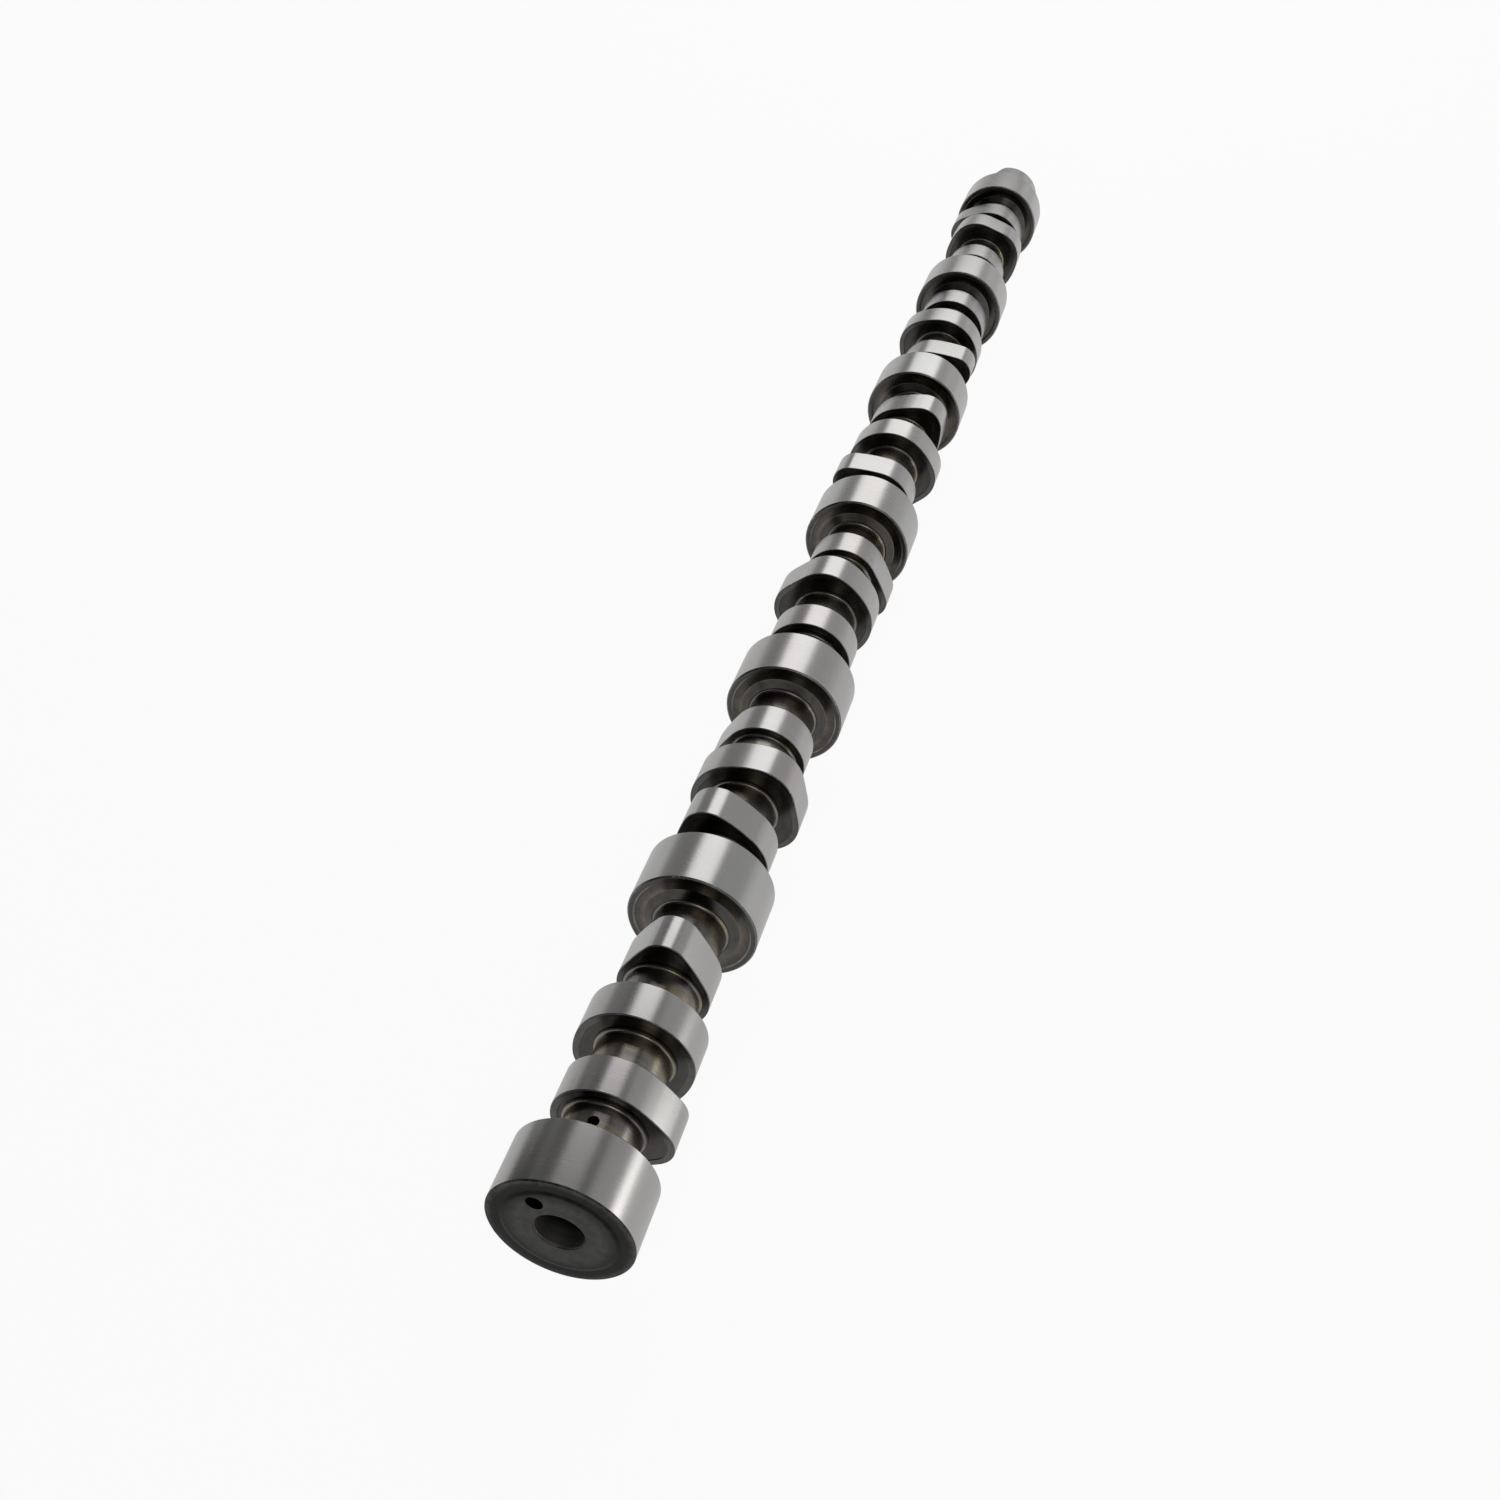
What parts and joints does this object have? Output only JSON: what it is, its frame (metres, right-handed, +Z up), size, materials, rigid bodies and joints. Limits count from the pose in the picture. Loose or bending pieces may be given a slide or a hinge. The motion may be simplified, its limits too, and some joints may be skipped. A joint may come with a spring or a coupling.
{
  "type": "camshaft",
  "caption": "Long one-piece steel camshaft with round bearing journals, egg-shaped valve lobes and rounder injector lobes, drilled at one end, with a keyed gear nose.",
  "frame": {"origin": "centre of the drilled end face, on the shaft's axis", "axes": "+X along the shaft towards the gear nose, +Z up with the shaft lying level"},
  "size_m": [1.047, 0.0632, 0.0634],
  "materials": {
    "camshaft": "ground journals and lobes, dark oiled side faces and necks"
  },
  "bodies": {
    "root": {"camshaft": "camshaft"}
  },
  "joints": []
}
